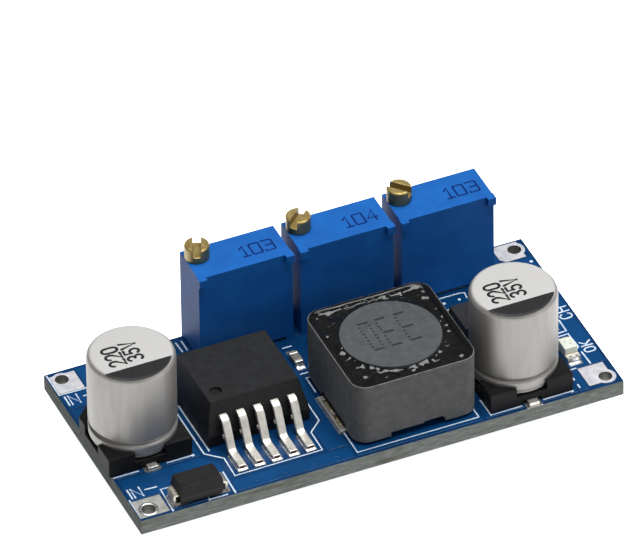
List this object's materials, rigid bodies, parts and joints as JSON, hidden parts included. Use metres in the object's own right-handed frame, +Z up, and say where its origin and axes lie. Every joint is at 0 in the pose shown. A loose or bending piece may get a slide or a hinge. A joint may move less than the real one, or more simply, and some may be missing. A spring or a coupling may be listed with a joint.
{
  "type": "buck converter module",
  "caption": "Small circuit board carrying a switching step-down regulator, a shielded power inductor, can capacitors and screw-turned trimmers, with plated wire holes at its corners.",
  "frame": {"origin": "centre of the board's underside", "axes": "+X along the board towards the output end, +Y across it towards the trimmers, +Z up through the parts"},
  "size_m": [0.0485, 0.0228, 0.0142],
  "materials": {
    "solder_mask": "glossy blue solder mask over copper",
    "land_tin": "levelled tin",
    "lead_tin": "bright tin plating",
    "solder": "bright solder",
    "can_aluminium": "satin drawn aluminium",
    "base_plastic": "matt moulded",
    "moulding": "fine matt moulded epoxy",
    "shield_ferrite": "dull sintered ferrite",
    "core_ferrite": "ground ferrite",
    "copper_wire": "enamelled copper",
    "potting_resin": "glossy cast resin",
    "trimmer_plastic": "smooth moulded",
    "screw_brass": "turned brass",
    "rotor_plastic": "moulded",
    "wiper_alloy": "sprung copper alloy",
    "element_ceramic": "ceramic with a dark resistive track",
    "seal_rubber": "soft",
    "seal_resin": "cast resin",
    "resistor_glaze": "glazed",
    "chip_ceramic": "sintered",
    "lamp_base_plastic": "moulded",
    "lamp_lens_resin": "clear-coated resin"
  },
  "bodies": {
    "module": {"board": "solder_mask", "terminal_in_plus": "land_tin", "terminal_in_minus": "land_tin", "terminal_out_plus": "land_tin", "terminal_out_minus": "land_tin", "solder_lands": "land_tin", "input_capacitor_can": "can_aluminium", "input_capacitor_base": "base_plastic", "input_capacitor_leads": "lead_tin", "output_capacitor_can": "can_aluminium", "output_capacitor_base": "base_plastic", "output_capacitor_leads": "lead_tin", "regulator_body": "moulding", "regulator_tab": "lead_tin", "regulator_leads": "lead_tin", "inductor_shield": "shield_ferrite", "inductor_core": "core_ferrite", "inductor_winding": "copper_wire", "inductor_resin": "potting_resin", "inductor_base": "base_plastic", "inductor_terminals": "lead_tin", "diode_body": "moulding", "diode_leads": "lead_tin", "voltage_trimmer_housing": "trimmer_plastic", "voltage_trimmer_element": "element_ceramic", "voltage_trimmer_pins": "lead_tin", "lamp_trimmer_housing": "trimmer_plastic", "lamp_trimmer_element": "element_ceramic", "lamp_trimmer_pins": "lead_tin", "current_trimmer_housing": "trimmer_plastic", "current_trimmer_element": "element_ceramic", "current_trimmer_pins": "lead_tin", "trimmer_seal_rings": "seal_rubber", "trimmer_bottom_seals": "seal_resin", "pin_solder_joints": "solder", "amplifier_body": "moulding", "amplifier_leads": "lead_tin", "reference_regulator_body": "moulding", "reference_regulator_leads": "lead_tin", "shunt_resistor_body": "resistor_glaze", "shunt_resistor_ends": "lead_tin", "chip_capacitor_body": "chip_ceramic", "chip_capacitor_ends": "lead_tin", "chip_resistor_bodies": "resistor_glaze", "chip_resistor_ends": "lead_tin", "ready_lamp_base": "lamp_base_plastic", "ready_lamp_lens": "lamp_lens_resin", "charge_lamp_base": "lamp_base_plastic", "charge_lamp_lens": "lamp_lens_resin"},
    "voltage_screw": {"voltage_trimmer_screw": "screw_brass"},
    "voltage_rotor": {"voltage_trimmer_rotor": "rotor_plastic", "voltage_trimmer_wiper": "wiper_alloy"},
    "lamp_screw": {"lamp_trimmer_screw": "screw_brass"},
    "lamp_rotor": {"lamp_trimmer_rotor": "rotor_plastic", "lamp_trimmer_wiper": "wiper_alloy"},
    "current_screw": {"current_trimmer_screw": "screw_brass"},
    "current_rotor": {"current_trimmer_rotor": "rotor_plastic", "current_trimmer_wiper": "wiper_alloy"}
  },
  "joints": [
    {"name": "voltage_screw_turn", "type": "hinge", "parent": "module", "child": "voltage_screw", "pos_m": [-0.00912, 0.01016, 0.0116], "axis": [0, 0, 1], "range_deg": [-4500, 4500]},
    {"name": "voltage_rotor_turn", "type": "hinge", "parent": "module", "child": "voltage_rotor", "pos_m": [-0.00528, 0.01016, 0.00675], "axis": [0, 1, 0], "range_deg": [-150, 150]},
    {"name": "lamp_screw_turn", "type": "hinge", "parent": "module", "child": "lamp_screw", "pos_m": [0.00103, 0.01016, 0.0116], "axis": [0, 0, 1], "range_deg": [-4500, 4500]},
    {"name": "lamp_rotor_turn", "type": "hinge", "parent": "module", "child": "lamp_rotor", "pos_m": [0.00488, 0.01016, 0.00675], "axis": [0, 1, 0], "range_deg": [-150, 150]},
    {"name": "current_screw_turn", "type": "hinge", "parent": "module", "child": "current_screw", "pos_m": [0.0112, 0.01016, 0.0116], "axis": [0, 0, 1], "range_deg": [-4500, 4500]},
    {"name": "current_rotor_turn", "type": "hinge", "parent": "module", "child": "current_rotor", "pos_m": [0.01504, 0.01016, 0.00675], "axis": [0, 1, 0], "range_deg": [-150, 150]}
  ],
  "couplings": [
    {"joint": "voltage_rotor_turn", "follows": "voltage_screw_turn", "ratio": -0.033333},
    {"joint": "lamp_rotor_turn", "follows": "lamp_screw_turn", "ratio": -0.033333},
    {"joint": "current_rotor_turn", "follows": "current_screw_turn", "ratio": -0.033333}
  ]
}
